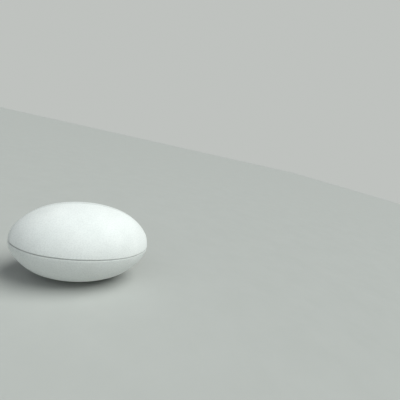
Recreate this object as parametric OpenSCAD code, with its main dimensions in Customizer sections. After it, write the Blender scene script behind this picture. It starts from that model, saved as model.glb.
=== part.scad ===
// Rugby union ball, size 5: a four-panel stitched cover over an air bladder, with a pull-out valve plug.
// The long axis runs along X and the ball rests on the plane Z = 0 with one seam straight down.
// All sizes are in millimetres.

/* [Ball shape] */
// Length from tip to tip
ball_length = 300; // [298:1:302]
// Radius at the waist, measured at the middle of a panel
waist_radius = 91; // [90.5:0.5:91.5]
// Radius of the arc at each tip; the arcs over the waist and the shoulders follow from it
tip_arc = 53.5; // [52:0.5:56]
// How far each panel's centre of curvature lies past the ball's axis, which makes the section squarish
panel_shift = 15; // [10:1:18]

/* [Cover laminate] */
// Thickness of the rubber skin
skin_t = 1.1; // [0.9:0.1:1.3]
// Thickness of one fabric ply
ply_t = 0.25; // [0.2:0.05:0.3]
// Bond line between two layers of the laminate
bond_t = 0.1; // [0.08:0.01:0.12]
// Half the gap between two skins that are sewn face to face
sewn_gap = 0.06; // [0.05:0.01:0.1]
// Radius of the rolled edge beside a seam
lip_radius = 2.4; // [2:0.1:2.8]
// Angle between the panel's surface and the start of its rolled edge
lip_break = 12; // [8:1:16]

/* [Stitching] */
// Distance between two stitches
stitch_pitch = 7.5; // [6:0.5:9]
// Depth of the stitch row under the seam's crest
stitch_depth = 4; // [3.8:0.1:4.2]
// Length of the stitch row on each side of the waist
stitch_reach = 180; // [120:1:184]
// Radius of the thread that runs along the allowance
thread_radius = 0.4; // [0.3:0.05:0.45]

/* [Bladder] */
// Gap between the cover's lining and the sewing allowances' inner edges, measured inwards
allowance_gap = 0.3; // [0.2:0.05:0.4]
// Thickness of the bladder's wall
bladder_t = 0.7; // [0.6:0.05:0.9]

/* [Valve] */
// Radius of the valve plug's head in the cover
plug_head_radius = 3.6; // [3.2:0.1:4]
// Radius of the valve plug's shank
plug_shank_radius = 2.8; // [2.4:0.1:3]
// Radius of the needle hole
needle_radius = 1; // [0.9:0.05:1.1]
// Length of the needle hole's round part
needle_length = 15; // [12:0.5:16]
// Radius of the valve seat's barrel
seat_radius = 6; // [5.5:0.1:6.5]
// Radius of the valve seat's flange
seat_flange_radius = 17; // [14:0.5:18]

/* [Hidden] */
$fn = 160;
half = ball_length / 2;
far = ball_length;
shift = panel_shift;

// Angles about the long axis of the four panels' middles, from +Y towards +Z
back_top = 45;
front_low = 225;

// Depths of the layers under the outer surface; the same steps repeat sideways in the allowances
ply_step = ply_t + bond_t;
ply_a_d = skin_t + bond_t;
ply_b_d = ply_a_d + ply_step;
ply_c_d = ply_b_d + ply_step;
lining_d = ply_c_d + ply_t;
allowance_d = lining_d + allowance_gap;

// An oval of three tangent arcs to a quarter: waist radius b, half length a and tip radius r3. The arcs
// meet on lines with the slopes 7:24 and 4:3, so that every centre and joint is a short decimal number.
// Each arc is [centre radial, centre axial, radius, start angle, end angle].
function oval(b, a, r3) =
    let (r2 = (7 * b - a - 4 * r3) / 2,
         r1 = 25 * b - 9 * r2 - 15 * r3,
         t1 = asin(0.28),
         t2 = asin(0.8))
    [[b - r1, 0, r1, -t1, t1],
     [b - r1 + 0.96 * (r1 - r2), 0.28 * (r1 - r2), r2, t1, t2],
     [0, a - r3, r3, t2, 90]];

panel_oval = oval(waist_radius, half, tip_arc);
seam_waist = round(100 * (sqrt(pow(waist_radius + shift, 2) - shift * shift / 2) - shift / sqrt(2))) / 100;
seam_oval = oval(seam_waist, half, tip_arc + 9);
// The outline inside the sewing allowances, which is shorter, so that they stay deep enough at the tips
inner_oval = oval(waist_radius - allowance_d, half - allowance_d - 4, tip_arc + 2.7);
bladder_d = 0.3;

// Slope of the panel beside the seam, and the rolled edge's place on it
crest_slope = asin(shift * sin(45) / (waist_radius + shift));
lip_angle = lip_break - crest_slope;
lip_offset = lip_radius * (1 - sin(lip_angle));
lip_depth = round(100 * (lip_radius * cos(lip_angle) + lip_offset * tan(crest_slope))) / 100;

// Height of the ball's axis: where the rolled edge's circle cuts the panel's circle beside the lowest seam
inset = shift / sqrt(2);
panel_radius = waist_radius + shift;
lip_reach = [lip_radius + inset, seam_waist - lip_depth + inset];
lip_along = (pow(panel_radius, 2) - pow(lip_radius, 2) + pow(norm(lip_reach), 2)) / 2 / norm(lip_reach);
lip_across = sqrt(pow(panel_radius, 2) - pow(lip_along, 2));
rest_height = (lip_along * lip_reach[1] + lip_across * lip_reach[0]) / norm(lip_reach) - inset;

// Length along the seam of each arc, and the point at a given length s and depth d
seam_s1 = seam_oval[0][2] * seam_oval[0][4] * PI / 180;
seam_s2 = seam_s1 + seam_oval[1][2] * (seam_oval[1][4] - seam_oval[1][3]) * PI / 180;
function on_arc(arc, angle, d) =
    [arc[0] + (arc[2] - d) * cos(angle), arc[1] + (arc[2] - d) * sin(angle)];
// The two ends of a straight line across an arc at an angle, from inside to outside or the other way round
function arc_end(arc, angle, turned = 0) =
    [for (k = turned ? [1, 0] : [0, 1]) on_arc(arc, angle, k ? -90 : 20)];
function seam_angle(s) =
    s < seam_s1 ? s / seam_oval[0][2] * 180 / PI :
    s < seam_s2 ? seam_oval[1][3] + (s - seam_s1) / seam_oval[1][2] * 180 / PI :
    seam_oval[2][3] + (s - seam_s2) / seam_oval[2][2] * 180 / PI;
function seam_part(s) = s < seam_s1 ? 0 : s < seam_s2 ? 1 : 2;
function seam_point(s, d) = on_arc(seam_oval[seam_part(s)], seam_angle(s), d);

stitch_count = floor(stitch_reach / stitch_pitch);
run_offset = sewn_gap + lining_d + 0.1 + thread_radius;
hole_radius = thread_radius + 0.05;
knot_radius = thread_radius * 2;

// Valve sizes
plug_clear = 0.05;
valve_gap = seat_radius + 0.1;
plug_head_t = 3;
plug_length = 23;
seat_length = 25;
seat_inner = waist_radius - seat_length;
flange_t = 1.2;
collar_t = 0.8;
patch_t = 0.4;
patch_radius = 15;

// Puts a shape drawn with the long axis on Z and its middle towards +X at an angle about the ball's axis
module about_ball(angle) {
    translate([0, 0, rest_height]) rotate([angle, 0, 0]) rotate(a = 120, v = [1, 1, 1]) children();
}

// The four panels' places; one panel of each level is the other one mirrored through the upright middle plane
module at_back_top() { about_ball(back_top) children(); }
module at_front_top() { mirror([0, 1, 0]) about_ball(back_top) children(); }
module at_front_low() { about_ball(front_low) children(); }
module at_back_low() { mirror([0, 1, 0]) about_ball(front_low) children(); }

// Everything between the two ends of an oval's arc i; the last sector runs past the pole
module sector(arcs, i) {
    polygon(concat(arc_end(arcs[i], arcs[i][3]), arc_end(arcs[i], i == 2 ? 120 : arcs[i][4], 1)));
}

// The half outline of an oval at depth d, moved out by s, from the turning axis outwards;
// the wedges clear what rounding can leave along the line where two arcs meet
module outline(arcs, d, s) {
    translate([s, 0]) difference() {
        translate([-s, -half - 2]) square([arcs[0][0] + arcs[0][2] + s + 2, 2 * half + 4]);
        for (i = [0, 1], side = [1, -1]) mirror([0, side < 0 ? 1 : 0])
            polygon([
                on_arc(arcs[i], arcs[i][4], d - 0.05),
                on_arc(arcs[i], arcs[i][4] - 1, -90),
                on_arc(arcs[i], arcs[i][4] + 1, -90)]);
        for (i = [0:2], side = i == 0 ? [1] : [1, -1]) mirror([0, side < 0 ? 1 : 0])
            difference() {
                sector(arcs, i);
                translate([arcs[i][0], arcs[i][1]]) circle(r = arcs[i][2] - d);
            }
    }
}

// The quarter of the ball under one panel's surface, d deep, and w short of both seam planes
module quarter(d, w) {
    intersection() {
        translate([-shift, 0, 0]) rotate([0, 0, -50])
            rotate_extrude(angle = 100) outline(panel_oval, d, shift);
        translate([0, 0, -far / 2]) linear_extrude(height = far) polygon([
            [w * sqrt(2), 0], [far / 2, far / 2 - w * sqrt(2)], [far / 2, w * sqrt(2) - far / 2]]);
    }
}

// A round body of the inner outline, d deep
module round_body(d) {
    rotate_extrude() outline(inner_oval, d, 0);
}

// One layer of the laminate: a boat-shaped sheet with its sewing allowances turned in
module sheet(d, t) {
    difference() {
        quarter(d, sewn_gap + d);
        quarter(d + t, sewn_gap + d + t);
        round_body(0);
        stitch_holes();
    }
}

// Puts a shape drawn on the seam plane, radial on X and axial on Y, on both edges of a panel
module on_edges() {
    for (side = [0, 1]) mirror([0, side, 0])
        rotate([0, 0, 45]) rotate([90, 0, 0]) children();
}

// Stitch holes through both allowances of a panel
module stitch_holes() {
    on_edges() for (i = [-stitch_count:stitch_count])
        translate([stitch(i)[0], stitch(i)[1], -0.1]) cylinder(r = hole_radius, h = lining_d + 1, $fn = 32);
}

// The space outside one panel's rolled edges: a ring for each of the seam's arcs, cut to the arc's sector
module lip_space() {
    on_edges() for (i = [0:2], side = i == 0 ? [1] : [1, -1]) {
        arc = seam_oval[i];
        mirror([0, side < 0 ? 1 : 0, 0]) intersection() {
            translate([arc[0], arc[1], 0]) rotate_extrude() difference() {
                translate([arc[2] - lip_depth, -1]) square([lip_depth + 3, lip_radius + 1]);
                translate([arc[2] - lip_depth, lip_radius]) circle(r = lip_radius, $fn = 48);
            }
            translate([0, 0, -5]) linear_extrude(height = 20) sector(seam_oval, i);
        }
    }
}

// A round hole through the cover or the bladder along the valve's axis
module valve_hole(r) {
    translate([waist_radius - 20, 0, 0]) rotate([0, 90, 0]) cylinder(r = r, h = 40);
}

module skin() {
    difference() {
        sheet(0, skin_t);
        lip_space();
    }
}

// A layer with a round hole on the valve's axis
module pierced(r) {
    difference() {
        children();
        valve_hole(r);
    }
}

module white_rubber() { color([0.86, 0.89, 0.87]) children(); }
module outer_cloth() { color([0.82, 0.80, 0.72]) children(); }
module middle_cloth() { color([0.76, 0.74, 0.66]) children(); }
module lining_cloth() { color([0.70, 0.69, 0.63]) children(); }

module skin_front_top() { white_rubber() at_front_top() skin(); }
module skin_front_low() { white_rubber() at_front_low() skin(); }
module skin_back_top() { white_rubber() at_back_top() pierced(plug_head_radius + 0.3) skin(); }
module skin_back_low() { white_rubber() at_back_low() skin(); }

module ply_a_front_top() { outer_cloth() at_front_top() sheet(ply_a_d, ply_t); }
module ply_a_front_low() { outer_cloth() at_front_low() sheet(ply_a_d, ply_t); }
module ply_a_back_top() { outer_cloth() at_back_top() pierced(valve_gap) sheet(ply_a_d, ply_t); }
module ply_a_back_low() { outer_cloth() at_back_low() sheet(ply_a_d, ply_t); }

module ply_b_front_top() { middle_cloth() at_front_top() sheet(ply_b_d, ply_t); }
module ply_b_front_low() { middle_cloth() at_front_low() sheet(ply_b_d, ply_t); }
module ply_b_back_top() { middle_cloth() at_back_top() pierced(valve_gap) sheet(ply_b_d, ply_t); }
module ply_b_back_low() { middle_cloth() at_back_low() sheet(ply_b_d, ply_t); }

module ply_c_front_top() { lining_cloth() at_front_top() sheet(ply_c_d, ply_t); }
module ply_c_front_low() { lining_cloth() at_front_low() sheet(ply_c_d, ply_t); }
module ply_c_back_top() { lining_cloth() at_back_top() pierced(valve_gap) sheet(ply_c_d, ply_t); }
module ply_c_back_low() { lining_cloth() at_back_low() sheet(ply_c_d, ply_t); }

// The middle of stitch i of a row, counted from the waist
function stitch(i) =
    let (p = seam_point(abs(i) * stitch_pitch, stitch_depth)) [p[0], i < 0 ? -p[1] : p[1]];

// One seam's saddle stitching: a bar through every hole, and a straight run on each side between two bars
module thread_row() {
    rotate([90, 0, 0]) {
        for (i = [-stitch_count:stitch_count])
            translate([stitch(i)[0], stitch(i)[1], -run_offset - 0.35])
                cylinder(r = thread_radius, h = 2 * run_offset + 0.7, $fn = 24);
        for (i = [-stitch_count:stitch_count - 1], face = [-1, 1]) {
            step = stitch(i + 1) - stitch(i);
            translate([stitch(i)[0], stitch(i)[1], face * run_offset])
                rotate([0, 0, atan2(step[1], step[0])]) translate([0.15, 0, 0]) rotate([0, 90, 0])
                    cylinder(r = thread_radius - 0.08, h = norm(step) - 0.3, $fn = 24);
        }
        for (face = [-1, 1], end = [-1, 1])
            translate(concat(stitch(end * stitch_count), face * (run_offset + 0.3)))
                sphere(r = knot_radius, $fn = 24);
    }
}

module thread_front() { color([0.93, 0.91, 0.84]) about_ball(180) thread_row(); }
module thread_top() { color([0.93, 0.91, 0.84]) about_ball(90) thread_row(); }
module thread_back() { color([0.93, 0.91, 0.84]) about_ball(0) thread_row(); }
module thread_low() { color([0.93, 0.91, 0.84]) about_ball(270) thread_row(); }

// Closed shell, open only where the valve seat is bonded in
module bladder() {
    color([0.13, 0.13, 0.14]) at_back_top() difference() {
        round_body(bladder_d);
        round_body(bladder_d + bladder_t);
        valve_hole(valve_gap);
    }
}

// Barrel that ends under the skin, with a counterbore for the plug's head,
// and a flange bonded under the bladder's wall
module valve_seat() {
    color([0.20, 0.20, 0.21]) at_back_top() difference() {
        union() {
            translate([seat_inner, 0, 0]) rotate([0, 90, 0])
                cylinder(r = seat_radius, h = seat_length - skin_t - 2 * bond_t, $fn = 96);
            intersection() {
                difference() {
                    round_body(bladder_d + bladder_t + bond_t);
                    round_body(bladder_d + bladder_t + bond_t + flange_t);
                }
                translate([waist_radius - 30, 0, 0]) rotate([0, 90, 0])
                    cylinder(r = seat_flange_radius, h = 60, $fn = 96);
            }
        }
        translate([waist_radius - 0.2 - plug_head_t - plug_clear, 0, 0]) rotate([0, 90, 0])
            cylinder(r = plug_head_radius + plug_clear, h = 20, $fn = 96);
        translate([seat_inner - 1, 0, 0]) rotate([0, 90, 0])
            cylinder(r = plug_shank_radius + plug_clear, h = 40, $fn = 96);
    }
}

// Ring bonded over the bladder's flange joint, inside the bladder
module valve_collar() {
    top = bladder_d + bladder_t + flange_t + 2 * bond_t;
    color([0.17, 0.17, 0.18]) at_back_top() difference() {
        intersection() {
            difference() {
                round_body(top);
                round_body(top + collar_t);
            }
            translate([waist_radius - 30, 0, 0]) rotate([0, 90, 0])
                cylinder(r = seat_flange_radius - 5, h = 60, $fn = 96);
        }
        translate([waist_radius - 30, 0, 0]) rotate([0, 90, 0])
            cylinder(r = valve_gap, h = 60, $fn = 96);
    }
}

// Round cloth patch bonded to the lining around the valve's hole
module valve_patch() {
    color([0.62, 0.60, 0.52]) at_back_top() difference() {
        intersection() {
            difference() {
                quarter(lining_d + 0.06, 12);
                quarter(lining_d + 0.06 + patch_t, 12 + patch_t);
            }
            translate([waist_radius - 30, 0, 0]) rotate([0, 90, 0])
                cylinder(r = patch_radius, h = 60, $fn = 96);
        }
        translate([waist_radius - 30, 0, 0]) rotate([0, 90, 0])
            cylinder(r = valve_gap, h = 60, $fn = 96);
    }
}

// Push-in plug: head, shank and tapered tip, with a round needle hole that ends in a slit
module valve_plug() {
    color([0.10, 0.10, 0.11]) at_back_top() translate([waist_radius - 0.2, 0, 0])
        rotate([0, -90, 0]) difference() {
            union() {
                cylinder(r = plug_head_radius, h = plug_head_t, $fn = 96);
                cylinder(r = plug_shank_radius, h = plug_length - 5, $fn = 96);
                translate([0, 0, plug_length - 5])
                    cylinder(r1 = plug_shank_radius, r2 = plug_shank_radius - 0.9, h = 5, $fn = 96);
            }
            translate([0, 0, -1]) cylinder(r = needle_radius, h = needle_length + 1, $fn = 64);
            translate([-0.15, -needle_radius, needle_length - 0.01])
                cube([0.3, 2 * needle_radius, plug_length]);
        }
}

skin_front_top();
skin_front_low();
skin_back_top();
skin_back_low();
ply_a_front_top();
ply_a_front_low();
ply_a_back_top();
ply_a_back_low();
ply_b_front_top();
ply_b_front_low();
ply_b_back_top();
ply_b_back_low();
ply_c_front_top();
ply_c_front_low();
ply_c_back_top();
ply_c_back_low();
thread_front();
thread_top();
thread_back();
thread_low();
bladder();
valve_seat();
valve_collar();
valve_patch();
valve_plug();
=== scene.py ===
# Rugby union ball, size 5: the looks of the four-panel stitched cover, its valve and what lies inside.
import math
from collections import namedtuple

import bmesh
import bpy
import numpy as np
from mathutils import Matrix, Vector


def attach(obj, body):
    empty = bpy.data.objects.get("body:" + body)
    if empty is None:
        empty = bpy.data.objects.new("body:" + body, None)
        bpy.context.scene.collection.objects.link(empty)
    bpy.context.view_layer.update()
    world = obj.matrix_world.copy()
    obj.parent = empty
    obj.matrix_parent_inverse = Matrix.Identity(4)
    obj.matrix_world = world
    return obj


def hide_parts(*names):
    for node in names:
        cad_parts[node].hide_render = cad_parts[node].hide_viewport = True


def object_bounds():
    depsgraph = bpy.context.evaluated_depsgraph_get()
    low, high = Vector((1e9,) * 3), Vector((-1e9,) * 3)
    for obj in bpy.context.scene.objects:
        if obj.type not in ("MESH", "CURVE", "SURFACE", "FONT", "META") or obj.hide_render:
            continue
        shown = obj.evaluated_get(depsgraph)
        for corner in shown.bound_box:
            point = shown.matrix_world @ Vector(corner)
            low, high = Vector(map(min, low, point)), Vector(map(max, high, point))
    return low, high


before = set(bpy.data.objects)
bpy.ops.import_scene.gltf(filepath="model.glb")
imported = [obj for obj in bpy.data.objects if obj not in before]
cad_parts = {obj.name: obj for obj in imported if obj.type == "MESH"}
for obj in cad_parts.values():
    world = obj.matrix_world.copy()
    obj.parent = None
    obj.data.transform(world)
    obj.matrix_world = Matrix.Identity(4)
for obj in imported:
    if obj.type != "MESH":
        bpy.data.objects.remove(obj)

cad_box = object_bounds()
MM = 0.001

# The ball lies along X, so its axis is at half the height of its box. Sizes are in millimetres
HALF_LENGTH = (cad_box[1].x - cad_box[0].x) / 2 / MM
AXIS_HEIGHT = (cad_box[1].z + cad_box[0].z) / 2 / MM

# The cover. A panel is turned about an axis that is shifted behind the ball's own
WAIST_RADIUS = 91
TIP_ARC = 53.5
PANEL_SHIFT = 15
SKIN_T = 1.1
SEWN_GAP = 0.06
LIP_RADIUS = 2.4
LIP_DEPTH = 2.6
STITCH_PITCH = 7.5

# The seam's crest, and the line that the sewing allowances reach in to
SEAM_WAIST = 94.86
SEAM_TIP_ARC = TIP_ARC + 9
INNER_WAIST = 88.55
INNER_HALF = HALF_LENGTH - 6.45
INNER_TIP_ARC = TIP_ARC + 2.7

# The skin's inner side is drawn a little less deep than SKIN_T, so that its flat facets clear the first ply
INNER_DEPTH = 1.0

# Sines of the slopes at which an outline's arcs meet, and the first slope's cosine
FIRST_SINE = 0.28
FIRST_COSINE = 0.96
SECOND_SINE = 0.8

# The grain: studs on a triangular grid of points, one stud to every twelve points. The six points
# round a stud's middle stand up by a share of its height, and the studs differ by a share of it
GRID = 0.735
STUD_HEIGHT = 0.27
STUD_RING = 0.72
STUD_SPREAD = 0.16
STUD_FADE = 1.3

# The shape's small unevenness: the stitches' pull on the seam's edge, and waves all over
PUCKER = 0.13
PUCKER_WIDTH = 4
PUCKER_FADE = 1.5
WAVE = 0.05
WAVE_FADE = 9

# How finely the mesh of a panel is divided
LIP_POINTS = 8
WALL_POINTS = 2
INNER_POINTS = 12
EDGE_ROOM = GRID * 0.6
SAME_PLACE = 1e-5
TOO_SHORT = 1e-6

# The searches for the rolled edge's start and for the allowance's depth:
# where they begin and how many steps they take
LEAST_INSET = 0.3
HALVINGS = 24
WALL_GUESS = 6.0
WALL_PASSES = 6

# Full rows end where the panel's radius gets too small for them. The rows after them have rolled
# edges only, which start at ever smaller insets
LAST_ROW_RADIUS = LIP_RADIUS * 1.34
TIP_ROWS = 7
TIP_INSET = LIP_RADIUS * 0.86
TIP_NARROWING = 1.3

# The valve, on the axis of the upper rear panel, and the smooth rim round its hole
VALVE_PANEL = "back_top"
HOLE_RADIUS = 3.9
HOLE_REACH = 6
RIM_WIDTH = 1.2
RIM_FADE = 1.2
PLUG_TOP = WAIST_RADIUS - 0.2
PLUG_HEAD_RADIUS = 3.6
PLUG_HEAD_T = 3
PLUG_SHANK_RADIUS = 2.8
PLUG_LENGTH = 23
PLUG_TAPER_LENGTH = 5
PLUG_TAPER = 0.9
NEEDLE_RADIUS = 1
NEEDLE_LENGTH = 15
SLIT_LENGTH = 12
SLIT_T = 0.3
TURN_SEGMENTS = 96

# For the colours: how far from the seam its grime may reach, and the mark of the skin between the studs,
# which sets how much painted shade it gets
GRIME_WIDTH = 6
BARE_MARK = 0.25

# The panels' middles, in degrees about the ball's long axis, from the rear up
PANELS = {"back_top": 45, "front_top": 135, "front_low": 225, "back_low": 315}


# ---------------------------------------------------------------- the ball's outlines

Arc = namedtuple("Arc", "radial axial radius start end")


def oval(waist, half, tip):
    """Three tangent arcs from the waist to the tip; the radii of the first two follow from the slopes."""
    shoulder = (7 * waist - half - 4 * tip) / 2
    belly = 25 * waist - 9 * shoulder - 15 * tip
    between = belly - shoulder
    first = math.asin(FIRST_SINE)
    second = math.asin(SECOND_SINE)
    return [
        Arc(waist - belly, 0.0, belly, 0.0, first),
        Arc(waist - belly + FIRST_COSINE * between, FIRST_SINE * between, shoulder, first, second),
        Arc(0.0, half - tip, tip, second, math.pi / 2),
    ]


PANEL = oval(WAIST_RADIUS, HALF_LENGTH, TIP_ARC)
SEAM = oval(SEAM_WAIST, HALF_LENGTH, SEAM_TIP_ARC)
INNER = oval(INNER_WAIST, INNER_HALF, INNER_TIP_ARC)


def on_arc(arc, angle, depth):
    """The point at an angle of an arc and a depth under it: (radial, axial)."""
    reach = arc.radius - depth
    return arc.radial + reach * math.cos(angle), arc.axial + reach * math.sin(angle)


def place_on(arcs, radial, axial):
    """The arc beside a point, the point's angle on it and its depth under it."""
    for arc in arcs:
        angle = math.atan2(axial - arc.axial, radial - arc.radial)
        if angle <= arc.end or arc is arcs[-1]:
            return arc, angle, arc.radius - math.hypot(radial - arc.radial, axial - arc.axial)


def along(arcs, distance):
    """The arc and angle at a distance along an oval from its waist."""
    for arc in arcs:
        length = arc.radius * (arc.end - arc.start)
        if distance <= length or arc is arcs[-1]:
            return arc, arc.start + distance / arc.radius
        distance -= length


def depths_under(arcs, radial, axial):
    """The depth under an oval of many points at once."""
    axial = np.abs(axial)
    depths = np.zeros_like(radial)
    left = np.ones(len(radial), bool)
    for arc in arcs:
        angle = np.arctan2(axial - arc.axial, radial - arc.radial)
        here = left & ((angle <= arc.end) | (arc is arcs[-1]))
        depths[here] = arc.radius - np.hypot(radial - arc.radial, axial - arc.axial)[here]
        left &= ~here
    return depths


# ---------------------------------------------------------------- one panel of the cover

def width_angle(radial, inset):
    """The angle across the panel at which its surface is inset from the seam plane."""
    cosine = (math.sqrt(2) * inset + PANEL_SHIFT) / math.sqrt(2) / (PANEL_SHIFT + radial)
    return math.acos(min(cosine, 1)) - math.pi / 4


def lip_start(radial, axial):
    """Where a panel's surface runs into its rolled edge, found by halving.

    It is given as the angle across the panel, the seam's arc beside it, the angle on that arc
    and the inset from the seam plane.
    """
    def look(inset):
        across = width_angle(radial, inset)
        x = -PANEL_SHIFT + (PANEL_SHIFT + radial) * math.cos(across)
        y = (PANEL_SHIFT + radial) * math.sin(across)
        arc, angle, depth = place_on(SEAM, (x + y) / math.sqrt(2), axial)
        rolled = LIP_DEPTH - math.sqrt(max(LIP_RADIUS**2 - (LIP_RADIUS - inset) ** 2, 0))
        return across, arc, angle, depth - rolled

    low = LEAST_INSET
    high = LIP_RADIUS
    if look(high)[3] < 0:
        low = high
    for _ in range(HALVINGS):
        middle = (low + high) / 2
        if look(middle)[3] > 0:
            high = middle
        else:
            low = middle
    across, arc, angle, _ = look(low)
    return across, arc, angle, low


def seam_place(arc, angle, depth, inset, side):
    """A point under the seam's crest, inset from the seam plane, at the panel's + or - side."""
    radial, axial = on_arc(arc, angle, depth)
    return (radial + inset) / math.sqrt(2), side * max(radial - inset, 0) / math.sqrt(2), axial


def wall_depth(arc, angle):
    """How deep the sewing allowance goes under the seam's crest, found in a few passes."""
    depth = WALL_GUESS
    for _ in range(WALL_PASSES):
        radial, axial = on_arc(arc, angle, depth)
        depth -= place_on(INNER, radial, axial)[2]
    return depth


def lip_and_wall(arc, angle, start, side):
    """Points from the wall's foot up and round the rolled edge to its start, and the foot's depth."""
    bottom = wall_depth(arc, angle)
    first = math.acos((LIP_RADIUS - SEWN_GAP) / LIP_RADIUS)
    last = math.acos((LIP_RADIUS - max(start, SEWN_GAP)) / LIP_RADIUS)
    top = LIP_DEPTH - LIP_RADIUS * math.sin(first)
    points = [
        seam_place(arc, angle, bottom + (top - bottom) * i / WALL_POINTS, SEWN_GAP, side)
        for i in range(WALL_POINTS)
    ]
    for i in range(LIP_POINTS):
        turn = first + (last - first) * i / (LIP_POINTS - 1)
        depth = LIP_DEPTH - LIP_RADIUS * math.sin(turn)
        points.append(seam_place(arc, angle, depth, LIP_RADIUS * (1 - math.cos(turn)), side))
    return points, bottom


def stud_pattern(row, columns):
    """How far each grid point of a row stands up: 1 on a stud's middle, less on the ring round it."""
    def middle(m, n):
        return (m % 2 == 0) & (n % 2 == 0) & ((m - n) // 2 % 3 == 0)

    m = columns - row // 2
    up = np.where(middle(m, row), 1.0, 0.0)
    for dm, dn in ((1, 0), (-1, 0), (0, 1), (0, -1), (1, -1), (-1, 1)):
        up = np.where(middle(m + dm, row + dn), STUD_RING, up)
    return up


def smooth(share):
    """An even rise from 0 to 1 that starts and ends level."""
    share = np.clip(share, 0, 1)
    return share * share * (3 - 2 * share)


def uneven(x, y, axial, seed):
    """The gentle waves of a hand-laid cover, from long and high to short and low; most of it is below 0."""
    return WAVE * (
        0.5 * np.sin(axial / 23 + 1.7 * seed) * np.cos(y / 19 + seed)
        + 0.3 * np.sin(axial / 11 - y / 17 + 2.3 * seed)
        + 0.2 * np.sin(axial / 7 + y / 9 + 0.7 * seed) - 0.3)


def row_place(row):
    """Where a row lies on the panel's outline: (arc, angle)."""
    return along(PANEL, abs(row) * GRID * math.sqrt(3) / 2)


def studded_face(row, seed, rng, has_valve, edge, start):
    """The row's grid points, from the + edge to the - edge, short of both by a little room."""
    arc, angle = row_place(row)
    radial, axial = on_arc(arc, angle, 0)
    sign = 1 if row >= 0 else -1
    reach = PANEL_SHIFT + radial
    half_width = edge * reach - EDGE_ROOM
    offset = (row % 2) / 2
    count = int(max(half_width, 0) // GRID) + 1
    columns = np.arange(count, -count - 1, -1)
    wide = (columns + offset) * GRID
    keep = np.abs(wide) <= half_width
    columns, wide = columns[keep], wide[keep]
    across = wide / reach
    x = -PANEL_SHIFT + reach * np.cos(across)
    y = reach * np.sin(across)
    inset = (x - np.abs(y)) / math.sqrt(2)

    studs = stud_pattern(row, columns) * (1 + STUD_SPREAD * (rng.random(len(columns)) - 0.5))
    studs = studs * STUD_HEIGHT * smooth((inset - start) / STUD_FADE)
    if has_valve:
        studs = studs * smooth((np.hypot(wide, axial) - HOLE_RADIUS - RIM_WIDTH) / RIM_FADE)
    waves = uneven(x, y, sign * axial, seed) * smooth((inset - start) / WAVE_FADE)
    pull = 0.5 + 0.5 * np.cos(2 * math.pi * sign * axial / STITCH_PITCH)
    pucker = PUCKER * pull * np.exp(-inset / PUCKER_WIDTH) * smooth((inset - start) / PUCKER_FADE)

    up = studs + waves - pucker
    out = up * math.cos(angle)
    return np.stack([x + out * np.cos(across), y + out * np.sin(across), axial + up * math.sin(angle)], 1)


def inner_side(arc, angle, seam_arc, seam_angle, bottom):
    """The row's inner side: the foot of the - allowance, the skin's inner face, the foot of the + one."""
    radial, axial = on_arc(arc, angle, INNER_DEPTH)
    corner = width_angle(radial, SEWN_GAP + SKIN_T)
    reach = PANEL_SHIFT + radial
    points = [seam_place(seam_arc, seam_angle, bottom, SEWN_GAP + SKIN_T, -1)]
    for i in range(INNER_POINTS):
        turn = corner * (2 * i / (INNER_POINTS - 1) - 1)
        points.append((-PANEL_SHIFT + reach * math.cos(turn), reach * math.sin(turn), axial))
    points.append(seam_place(seam_arc, seam_angle, bottom, SEWN_GAP + SKIN_T, 1))
    return points


def at_end(parts, sign):
    """A row's parts as arrays of points, at the ball's + or - end."""
    return [np.array(part, float).reshape(-1, 3) * np.array([1, 1, sign]) for part in parts]


def panel_row(row, seed, rng, has_valve):
    """One full row across a panel, in four parts: + edge, face, - edge and inner side."""
    arc, angle = row_place(row)
    radial, axial = on_arc(arc, angle, 0)
    edge, seam_arc, seam_angle, start = lip_start(radial, axial)
    plus, bottom = lip_and_wall(seam_arc, seam_angle, start, 1)
    minus, _ = lip_and_wall(seam_arc, seam_angle, start, -1)
    face = studded_face(row, seed, rng, has_valve, edge, start)
    inner = inner_side(arc, angle, seam_arc, seam_angle, bottom)
    return at_end((plus, face, minus[::-1], inner), 1 if row >= 0 else -1)


def tip_row(sign, step):
    """A row past the last full one, where the two rolled edges meet on the panel's middle."""
    meet = SEWN_GAP + (TIP_INSET - SEWN_GAP) * (1 - step / (TIP_ROWS - 1)) ** TIP_NARROWING
    arc = SEAM[-1]
    depth = LIP_DEPTH - math.sqrt(LIP_RADIUS**2 - (LIP_RADIUS - meet) ** 2)
    angle = math.acos(meet / (arc.radius - depth))
    plus, _ = lip_and_wall(arc, angle, meet, 1)
    minus, _ = lip_and_wall(arc, angle, meet, -1)
    return at_end((plus, np.zeros((0, 3)), minus[::-1]), sign)


def panel_rows(seed, has_valve):
    """Every row of a panel, from the - tip to the + tip."""
    rng = np.random.default_rng(seed)
    last = 0
    while True:
        arc, angle = row_place(last + 1)
        if angle > math.pi / 2 or on_arc(arc, angle, 0)[0] < LAST_ROW_RADIUS:
            break
        last += 1
    rows = [tip_row(-1, step) for step in reversed(range(TIP_ROWS))]
    rows += [panel_row(row, seed, rng, has_valve) for row in range(-last, last + 1)]
    rows += [tip_row(1, step) for step in range(TIP_ROWS)]
    return rows


def zip_rows(a, b, a_places, b_places):
    """Triangles between two rows of points, each from the + edge to the - edge."""
    faces, i, j = [], 0, 0
    while i < len(a) - 1 or j < len(b) - 1:
        step_a = i < len(a) - 1 and (j == len(b) - 1 or a_places[i + 1] >= b_places[j + 1])
        if step_a:
            faces.append((a[i], b[j], a[i + 1]))
            i += 1
        else:
            faces.append((a[i], b[j], b[j + 1]))
            j += 1
    return faces


def strip(a, b):
    """Four-sided faces between two rows of equally many points."""
    return [(a[i], b[i], b[i + 1], a[i + 1]) for i in range(len(a) - 1)]


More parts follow.
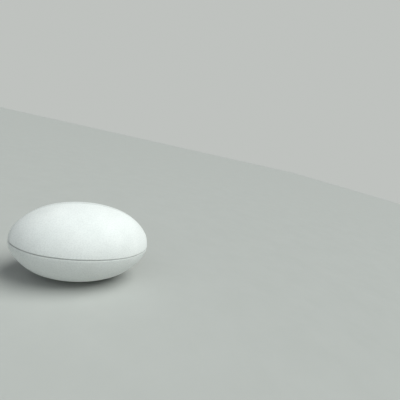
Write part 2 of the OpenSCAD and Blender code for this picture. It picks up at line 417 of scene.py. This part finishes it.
def faces_between(a, b, points):
    """The faces that join two rows. A full row has four parts, a row at the tip has no inner side."""
    faces = strip(a[0], b[0]) + strip(a[2], b[2])
    face_a = [a[0][-1]] + a[1] + [a[2][0]]
    face_b = [b[0][-1]] + b[1] + [b[2][0]]
    faces += zip_rows(face_a, face_b, points[face_a, 1], points[face_b, 1])
    if len(a) == 4 and len(b) == 4:
        faces += strip([a[2][-1]] + a[3] + [a[0][0]], [b[2][-1]] + b[3] + [b[0][0]])
    elif len(a) == 3 and len(b) == 3:
        faces.append((a[2][-1], b[2][-1], b[0][0], a[0][0]))
    else:
        full, tip = (a, b) if len(a) == 4 else (b, a)
        faces.append((full[2][-1], full[3][0], full[3][-1], full[0][0], tip[0][0], tip[2][-1]))
        faces.append(tuple(full[3]))
    return faces


def mesh_from(bm, name):
    """A named mesh made from a bmesh, which isn't needed after it."""
    mesh = bpy.data.meshes.new(name)
    bm.to_mesh(mesh)
    bm.free()
    return mesh


def panel_mesh(name, seed, has_valve):
    """A whole cover panel as one closed skin with turned-in allowances and a studded face."""
    points = []
    rows = []
    total = 0
    for row in panel_rows(seed, has_valve):
        numbers = []
        for part in row:
            numbers.append(list(range(total, total + len(part))))
            total += len(part)
            points.append(part)
        rows.append(numbers)
    points = np.concatenate(points)

    bm = bmesh.new()
    verts = [bm.verts.new(point) for point in points]
    for a, b in zip(rows, rows[1:]):
        for face in faces_between(a, b, points):
            bm.faces.new([verts[i] for i in face])
    bmesh.ops.remove_doubles(bm, verts=bm.verts, dist=SAME_PLACE)
    bmesh.ops.dissolve_degenerate(bm, edges=bm.edges, dist=TOO_SHORT)
    bmesh.ops.recalc_face_normals(bm, faces=bm.faces)
    return mesh_from(bm, name)


def about_ball(turn):
    """From a panel's own frame (long axis Z, middle towards +X, in mm) to the ball's, in metres."""
    cosine = math.cos(math.radians(turn))
    sine = math.sin(math.radians(turn))
    return Matrix((
        (0, 0, MM, 0),
        (cosine * MM, -sine * MM, 0, 0),
        (sine * MM, cosine * MM, 0, AXIS_HEIGHT * MM),
        (0, 0, 0, 1)))


def cut_hole(mesh, radius, low, high):
    """A round hole along the valve's axis, through a mesh in the panel's own frame."""
    middle = Matrix.Translation(((low + high) / 2, 0, 0))
    bm = bmesh.new()
    bmesh.ops.create_cone(
        bm, cap_ends=True, segments=TURN_SEGMENTS, radius1=radius, radius2=radius, depth=high - low,
        matrix=middle @ Matrix.Rotation(math.pi / 2, 4, "Y"))
    return subtract(mesh, mesh_from(bm, "hole_tool"))


def subtract(mesh, tool):
    """The mesh less the tool, as a new mesh."""
    whole = bpy.data.objects.new("whole", mesh)
    cutter = bpy.data.objects.new("cutter", tool)
    for thing in (whole, cutter):
        bpy.context.scene.collection.objects.link(thing)
    cut = whole.modifiers.new("cut", "BOOLEAN")
    cut.operation = "DIFFERENCE"
    cut.solver = "EXACT"
    cut.object = cutter
    bpy.context.view_layer.update()
    done = whole.evaluated_get(bpy.context.evaluated_depsgraph_get())
    result = bpy.data.meshes.new_from_object(done)
    for thing in (whole, cutter):
        bpy.data.objects.remove(thing)
    return result


def finish_mesh(mesh, name, turn, body, replaced, material, sharp):
    """Puts a mesh in the ball's frame, on its body and in place of its CAD node."""
    mesh.transform(about_ball(turn))
    mesh.name = name
    for polygon in mesh.polygons:
        polygon.use_smooth = True
    mesh.set_sharp_from_angle(angle=math.radians(sharp))
    mesh.materials.clear()
    mesh.materials.append(material)
    piece = bpy.data.objects.new(name, mesh)
    bpy.context.scene.collection.objects.link(piece)
    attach(piece, body)
    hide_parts(replaced)


def mark_cover(mesh):
    """Attributes of a panel in its own frame: how far a point stands up, and how near the seam it is.

    The first isn't 0 on the skin between the studs, so that the dips of the unevenness get painted shade
    too; the colour is darker where it is low.
    """
    places = np.zeros(len(mesh.vertices) * 3)
    mesh.vertices.foreach_get("co", places)
    x, y, axial = places.reshape(-1, 3).T
    radial = np.hypot(x + PANEL_SHIFT, y) - PANEL_SHIFT
    up = -depths_under(PANEL, radial, axial)
    stud = np.clip(up / STUD_HEIGHT * (1 - BARE_MARK) + BARE_MARK, 0, 1)
    inset = (x - np.abs(y)) / math.sqrt(2)
    seam = np.clip(1 - inset / GRIME_WIDTH, 0, 1)
    for name, values in (("stud", stud), ("seam", seam)):
        layer = mesh.attributes.new(name, "FLOAT", "POINT")
        layer.data.foreach_set("value", values.astype(np.float32))


# ---------------------------------------------------------------- materials

class Nodes:
    """A short way to build a material's node tree."""

    def __init__(self, name):
        self.material = bpy.data.materials.new(name)
        self.material.use_nodes = True
        self.tree = self.material.node_tree
        self.shader = self.tree.nodes["Principled BSDF"]
        self.place = self.add("ShaderNodeTexCoord").outputs["Object"]

    def add(self, kind, inputs=(), **settings):
        """A new node with its settings and inputs."""
        node = self.tree.nodes.new(kind)
        for key, value in settings.items():
            setattr(node, key, value)
        for key, value in dict(inputs).items():
            self.put(node.inputs[key], value)
        return node

    def put(self, socket, value):
        """Links a socket to the value, or sets it."""
        if isinstance(value, bpy.types.NodeSocket):
            self.tree.links.new(value, socket)
        else:
            socket.default_value = value

    def noise(self, scale, detail=3, roughness=0.55, distortion=0.0):
        return self.add("ShaderNodeTexNoise", {
            "Vector": self.place, "Scale": scale, "Detail": detail, "Roughness": roughness,
            "Distortion": distortion}).outputs["Fac"]

    def bands(self, direction, scale, distortion, detail, detail_scale):
        """Soft bands, which repeat every pi / 10 / scale metres."""
        return self.add("ShaderNodeTexWave", {
            "Vector": self.place, "Scale": scale, "Distortion": distortion, "Detail": detail,
            "Detail Scale": detail_scale}, wave_type="BANDS", bands_direction=direction).outputs["Fac"]

    def spread(self, value, low, high, to_low=0.0, to_high=1.0):
        """A smooth change from to_low to to_high while the value goes from low to high."""
        return self.add("ShaderNodeMapRange", {
            "Value": value, "From Min": low, "From Max": high, "To Min": to_low, "To Max": to_high},
            interpolation_type="SMOOTHSTEP").outputs["Result"]

    def calc(self, operation, a, b):
        return self.add("ShaderNodeMath", {0: a, 1: b}, operation=operation).outputs[0]

    def mix(self, factor, a, b):
        """A mix of two colours; a Mix node's colour sockets are inputs 6 and 7 and output 2."""
        node = self.add("ShaderNodeMix", data_type="RGBA")
        self.put(node.inputs[0], factor)
        self.put(node.inputs[6], a)
        self.put(node.inputs[7], b)
        return node.outputs[2]

    def attribute(self, name):
        return self.add("ShaderNodeAttribute", attribute_name=name).outputs["Fac"]

    def bump(self, height, distance, strength=1.0, under=None):
        node = self.add("ShaderNodeBump", {"Height": height, "Distance": distance, "Strength": strength})
        if under is not None:
            self.put(node.inputs["Normal"], under)
        return node.outputs["Normal"]

    def set(self, **inputs):
        """Sets or links the shader's inputs."""
        for key, value in inputs.items():
            self.put(self.shader.inputs[key.replace("_", " ")], value)

    def layer(self, color, share, strength, over):
        """A colour laid over another, by a share that is made weaker by the strength."""
        return self.mix(self.calc("MULTIPLY", share, strength), color, over)


def rubber_cover():
    """White studded rubber: cloudy, specked, painted shade between the studs and in the dips of its waves,
    grimy at the seams, scuffed.
    """
    n = Nodes("studded_white_rubber")
    color = n.mix(n.spread(n.noise(16, 4), 0.3, 0.7), (0.815, 0.85, 0.835, 1), (0.86, 0.89, 0.875, 1))
    warm = n.spread(n.noise(5, 2), 0.4, 0.72)
    color = n.layer(color, warm, 0.25, (0.82, 0.83, 0.79, 1))
    speck = n.spread(n.noise(430, 2, 0.6), 0.42, 0.66)
    color = n.layer(color, speck, 0.34, (0.64, 0.66, 0.66, 1))
    # Painted shade: darker grey between the studs and in the dips of the cover's waves, stronger in some
    # patches than others
    painted_valley_shade = n.spread(n.attribute("stud"), 0.55, 0.12)
    patchy = n.spread(n.noise(38, 4), 0.35, 0.7, 0.22, 0.42)
    color = n.layer(color, painted_valley_shade, patchy, (0.56, 0.575, 0.55, 1))
    grime = n.spread(n.attribute("seam"), 0.66, 0.96)
    worn = n.spread(n.noise(60, 3), 0.25, 0.7, 0.45, 0.95)
    color = n.layer(color, grime, worn, (0.40, 0.42, 0.41, 1))
    scuff = n.spread(n.noise(26, 5, 0.62, 1.4), 0.64, 0.76)
    color = n.layer(color, scuff, 0.12, (0.62, 0.62, 0.57, 1))
    n.set(Base_Color=color)
    n.set(Roughness=n.spread(n.noise(70, 4), 0.3, 0.7, 0.54, 0.70))
    n.shader.inputs["Specular IOR Level"].default_value = 0.36
    n.shader.inputs["Sheen Weight"].default_value = 0.06
    n.shader.inputs["Sheen Roughness"].default_value = 0.5
    fine = n.bump(n.noise(2600, 3, 0.6), 0.00004, 0.5)
    n.set(Normal=n.bump(n.noise(420, 4, 0.6), 0.00010, 0.35, fine))
    return n.material


def shaded(color, factor):
    """A colour made darker or lighter, with its alpha."""
    return (*[part * factor for part in color], 1)


def cloth(name, light, dark, pitch):
    """Plain-weave fabric of a thread pitch in metres, stained by the bonding rubber."""
    n = Nodes(name)
    scale = math.pi / 10 / pitch
    threads = [n.bands(direction, scale, 0.6, 1.0, 2.0) for direction in ("X", "DIAGONAL")]
    weave = n.calc("MULTIPLY", *threads)
    fibre = n.noise(3200, 3, 0.7)
    color = n.mix(n.spread(weave, 0.05, 0.75), shaded(dark, 1), shaded(light, 1))
    color = n.layer(color, n.spread(fibre, 0.4, 0.8), 0.3, shaded(light, 0.8))
    stain = n.spread(n.noise(30, 4), 0.45, 0.75)
    color = n.layer(color, stain, 0.25, shaded(dark, 0.7))
    n.set(Base_Color=color, Roughness=n.spread(fibre, 0.3, 0.7, 0.78, 0.95))
    n.shader.inputs["Sheen Weight"].default_value = 0.25
    n.set(Normal=n.bump(weave, 0.00015, 0.8, n.bump(fibre, 0.00003, 0.5)))
    return n.material


def soft_rubber(name, color, roughness, grain):
    """Moulded dark rubber with a bloom of talc."""
    n = Nodes(name)
    cloud = n.spread(n.noise(45, 4), 0.3, 0.7)
    shade = n.mix(cloud, shaded(color, 0.75), shaded(color, 1.25))
    bloom = n.spread(n.noise(140, 5, 0.65), 0.55, 0.8)
    shade = n.layer(shade, bloom, 0.16, (0.45, 0.45, 0.44, 1))
    uneven_shine = n.spread(n.noise(220, 3), 0.3, 0.7, roughness - 0.08, roughness + 0.1)
    n.set(Base_Color=shade, Roughness=uneven_shine)
    n.shader.inputs["Specular IOR Level"].default_value = 0.45
    n.set(Normal=n.bump(n.noise(grain, 3, 0.6), 0.00003, 0.6))
    return n.material


def waxed_thread():
    """Twisted thread, yellower where the wax is thick."""
    n = Nodes("waxed_thread")
    twist = n.bands("DIAGONAL", 330.0, 1.2, 2.0, 1.5)
    color = n.mix(n.spread(twist, 0.1, 0.8), (0.62, 0.58, 0.47, 1), (0.90, 0.87, 0.78, 1))
    color = n.layer(color, n.spread(n.noise(90, 3), 0.4, 0.75), 0.35, (0.66, 0.60, 0.46, 1))
    n.set(Base_Color=color, Roughness=n.spread(n.noise(500, 2), 0.3, 0.7, 0.42, 0.6))
    n.shader.inputs["Specular IOR Level"].default_value = 0.5
    n.set(Normal=n.bump(twist, 0.00008, 0.8))
    return n.material


def floor_material():
    """A plain pale floor with the faintest clouds."""
    n = Nodes("pale_floor")
    cloud = n.spread(n.noise(9, 3), 0.2, 0.8)
    n.set(Base_Color=n.mix(cloud, (0.445, 0.458, 0.438, 1), (0.460, 0.473, 0.453, 1)))
    n.set(Roughness=n.spread(n.noise(30, 2), 0.3, 0.7, 0.82, 0.92))
    n.set(Normal=n.bump(n.noise(160, 3), 0.0004, 0.15))
    return n.material


# ---------------------------------------------------------------- the pieces

cover = rubber_cover()
for seed, (panel, turn) in enumerate(PANELS.items(), 1):
    name = "cover_" + panel
    has_valve = panel == VALVE_PANEL
    mesh = panel_mesh(name, seed, has_valve)
    if has_valve:
        mesh = cut_hole(mesh, HOLE_RADIUS, WAIST_RADIUS - HOLE_REACH, WAIST_RADIUS + HOLE_REACH)
    mark_cover(mesh)
    finish_mesh(mesh, name, turn, "ball", "skin_" + panel, cover, sharp=40)


def turned(profile, segments):
    """A closed solid turned about +X from (radius, place) pairs, which begin and end on the axis."""
    bm = bmesh.new()
    rings = []
    for radius, place in profile:
        if radius == 0:
            rings.append([bm.verts.new((place, 0, 0))])
            continue
        angles = [2 * math.pi * i / segments for i in range(segments)]
        rings.append([
            bm.verts.new((place, radius * math.cos(angle), radius * math.sin(angle))) for angle in angles])
    # Beside a ring of one point a face has two equal corners, of which one is dropped
    for a, b in zip(rings, rings[1:]):
        for i in range(segments):
            j = (i + 1) % segments
            corners = [a[i % len(a)], a[j % len(a)], b[j % len(b)], b[i % len(b)]]
            bm.faces.new([corner for k, corner in enumerate(corners) if corner is not corners[k - 1]])
    bmesh.ops.recalc_face_normals(bm, faces=bm.faces)
    return mesh_from(bm, "turned")


def rounded(middle, radius, start, end, steps):
    """Points of a rounded corner of a turned profile, from one angle to another about its middle."""
    points = []
    for i in range(steps + 1):
        angle = math.radians(start + (end - start) * i / steps)
        points.append((middle[0] + radius * math.cos(angle), middle[1] + radius * math.sin(angle)))
    return points


def valve_plug():
    """Head, shank and tapered tip, with the needle hole and the slit under it."""
    top = PLUG_TOP
    under = top - PLUG_HEAD_T
    low = top - PLUG_LENGTH
    hole_end = top - NEEDLE_LENGTH

    # The needle hole, with a flared mouth
    mouth, flare = 0.5, 0.15
    profile = [(0, hole_end), (NEEDLE_RADIUS, hole_end), (NEEDLE_RADIUS, top - mouth)]
    profile += [(NEEDLE_RADIUS + flare, top - flare), (NEEDLE_RADIUS + mouth, top)]

    # The head, rounded above and below, and the corner between it and the shank
    edge, under_edge, corner = 0.35, 0.2, 0.1
    profile += rounded((PLUG_HEAD_RADIUS - edge, top - edge), edge, 90, 0, 5)
    profile += rounded((PLUG_HEAD_RADIUS - under_edge, under + under_edge), under_edge, 0, -90, 3)
    profile += [(PLUG_SHANK_RADIUS + corner, under), (PLUG_SHANK_RADIUS, under - corner)]

    # The tapered tip, which begins with a soft bend
    bend, tip_edge = 0.2, 0.3
    taper_start = low + PLUG_TAPER_LENGTH
    taper_end = PLUG_SHANK_RADIUS - PLUG_TAPER
    profile += [(PLUG_SHANK_RADIUS, taper_start + bend), (PLUG_SHANK_RADIUS - bend / 4, taper_start - bend)]
    profile += rounded((taper_end - tip_edge, low + tip_edge), tip_edge, 0, -90, 4)
    profile += [(0, low)]

    # The slit goes from just inside the hole's end out through the tip
    overlap = 0.5
    place = Matrix.Translation((hole_end + overlap - SLIT_LENGTH / 2, 0, 0))
    shape = Matrix.Diagonal((SLIT_LENGTH, 2 * NEEDLE_RADIUS, SLIT_T, 1))
    bm = bmesh.new()
    bmesh.ops.create_cube(bm, size=1, matrix=place @ shape)
    return subtract(turned(profile, TURN_SEGMENTS), mesh_from(bm, "slit"))


plug_rubber = soft_rubber("plug_rubber", (0.045, 0.045, 0.05), 0.42, 1800)
finish_mesh(
    valve_plug(), "plug_core", PANELS[VALVE_PANEL], "plug", "valve_plug", plug_rubber,
    sharp=35)

# The other nodes keep the CAD shape. Each name here starts the names of the nodes that its material is for
carried = {
    "ply_a_": cloth("outer_cloth", (0.80, 0.78, 0.69), (0.55, 0.53, 0.45), 0.0009),
    "ply_b_": cloth("middle_cloth", (0.74, 0.72, 0.62), (0.49, 0.47, 0.39), 0.0009),
    "ply_c_": cloth("lining_cloth", (0.66, 0.65, 0.58), (0.43, 0.42, 0.36), 0.0011),
    "valve_patch": cloth("patch_cloth", (0.58, 0.56, 0.47), (0.38, 0.36, 0.30), 0.0007),
    "thread_": waxed_thread(),
    "bladder": soft_rubber("black_butyl", (0.035, 0.035, 0.04), 0.5, 900),
    "valve_seat": soft_rubber("seat_rubber", (0.07, 0.07, 0.075), 0.6, 1400),
    "valve_collar": soft_rubber("collar_rubber", (0.055, 0.055, 0.06), 0.6, 1200),
}
for name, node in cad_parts.items():
    for beginning, material in carried.items():
        if name.startswith(beginning):
            node.data.materials.clear()
            node.data.materials.append(material)
            for polygon in node.data.polygons:
                polygon.material_index = 0


# ---------------------------------------------------------------- floor, light and camera

def flat_square(name, size, material):
    """A level square on the ground, of a size in metres, round the origin."""
    mesh = bpy.data.meshes.new(name)
    half = size / 2
    corners = [(-half, -half, 0), (half, -half, 0), (half, half, 0), (-half, half, 0)]
    mesh.from_pydata(corners, [], [(0, 1, 2, 3)])
    mesh.materials.append(material)
    square = bpy.data.objects.new(name, mesh)
    bpy.context.scene.collection.objects.link(square)
    return square


flat_square("floor", 16, floor_material())


def soft_light(name, toward, spread, strength, color):
    """A wide, even light from far away in the direction given, as many degrees wide as its spread."""
    data = bpy.data.lights.new(name, "SUN")
    data.energy = strength
    data.angle = math.radians(spread)
    data.color = color
    light = bpy.data.objects.new(name, data)
    light.rotation_euler = (-Vector(toward)).to_track_quat("-Z", "Y").to_euler()
    bpy.context.scene.collection.objects.link(light)


soft_light("key", toward=(0.46, -0.30, 1.0), spread=45, strength=2.95, color=(0.965, 1.0, 0.98))
soft_light("front", toward=(-0.8, -0.8, 1.2), spread=60, strength=0.8, color=(0.92, 0.97, 1.0))
soft_light("side", toward=(1.0, -0.65, 0.05), spread=40, strength=0.4, color=(0.97, 1.0, 0.97))


def pale_surround():
    """A dim even surround that the camera sees as pale as the floor."""
    world = bpy.data.worlds.new("studio")
    world.use_nodes = True
    tree = world.node_tree
    output = tree.nodes["World Output"]
    dim = tree.nodes["Background"]
    dim.inputs["Color"].default_value = (0.90, 0.95, 1.0, 1)
    dim.inputs["Strength"].default_value = 0.07
    seen = tree.nodes.new("ShaderNodeBackground")
    seen.inputs["Color"].default_value = (0.520, 0.540, 0.520, 1)
    seen.inputs["Strength"].default_value = 1.0
    both = tree.nodes.new("ShaderNodeMixShader")
    path = tree.nodes.new("ShaderNodeLightPath")
    tree.links.new(path.outputs["Is Camera Ray"], both.inputs[0])
    tree.links.new(dim.outputs["Background"], both.inputs[1])
    tree.links.new(seen.outputs["Background"], both.inputs[2])
    tree.links.new(both.outputs["Shader"], output.inputs["Surface"])
    bpy.context.scene.world = world


pale_surround()
bpy.context.scene.view_settings.view_transform = "Standard"

# The camera stands low before the ball, looks past its right end and is tilted a little. Its place is
# in metres, its angles in degrees, its lens and sensor in millimetres
CAMERA_PLACE = (-0.0438, -0.6454, 0.3871)
CAMERA_TURN = 25.96
CAMERA_DOWN = 12.06
CAMERA_ROLL = -13.79
CAMERA_LENS = 24.64
CAMERA_SENSOR = 36


def make_camera():
    """The camera of the usual view."""
    turn, down, roll = (math.radians(angle) for angle in (CAMERA_TURN, CAMERA_DOWN, CAMERA_ROLL))
    ahead = Vector((math.sin(turn) * math.cos(down), math.cos(turn) * math.cos(down), -math.sin(down)))
    level = Vector((math.cos(turn), -math.sin(turn), 0))
    below = ahead.cross(level)
    right = math.cos(roll) * level + math.sin(roll) * below
    under = -math.sin(roll) * level + math.cos(roll) * below
    data = bpy.data.cameras.new("camera")
    data.sensor_width = CAMERA_SENSOR
    data.lens = CAMERA_LENS
    data.clip_start = 0.01
    data.clip_end = 50
    camera = bpy.data.objects.new("camera", data)
    facing = Matrix((right, -under, -ahead)).transposed().to_4x4()
    camera.matrix_world = Matrix.Translation(CAMERA_PLACE) @ facing
    bpy.context.scene.collection.objects.link(camera)
    bpy.context.scene.camera = camera


make_camera()
